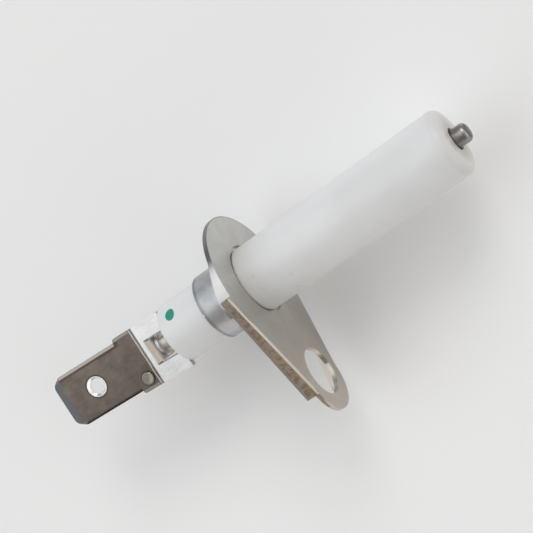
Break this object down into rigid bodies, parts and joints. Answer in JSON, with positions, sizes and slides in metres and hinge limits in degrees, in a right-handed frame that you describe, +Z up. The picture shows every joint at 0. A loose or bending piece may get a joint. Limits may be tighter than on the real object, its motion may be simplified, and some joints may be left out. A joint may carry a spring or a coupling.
{
  "type": "ignition electrode",
  "caption": "Gas burner ignition electrode: stepped white ceramic tube with a thin metal rod through it, a teardrop sheet flange with one screw hole, and a flat push-on blade terminal at the rear.",
  "frame": {"origin": "on the rod's axis, in the plane of the flange's front face, which rests on the burner", "axes": "+X along the rod towards the spark end, -Y from the rod towards the flange's screw hole, +Z up, the side of the blade terminal's window"},
  "size_m": [0.0555, 0.0245, 0.0172],
  "materials": {
    "ceramic": "smooth fired white alumina, satin",
    "rod_alloy": "drawn heat-resistant wire, dark grey oxide",
    "flange_steel": "cold-rolled stainless sheet, satin",
    "collar_steel": "pressed spring steel, mottled satin",
    "terminal_plating": "tin-plated, dull satin",
    "cement": "matt, grainy sealing cement"
  },
  "bodies": {
    "root": {"ceramic_insulator": "ceramic", "spark_rod": "rod_alloy", "mounting_flange": "flange_steel", "retaining_collar": "collar_steel", "blade_terminal": "terminal_plating", "front_cement": "cement", "rear_cement": "cement"}
  },
  "joints": []
}
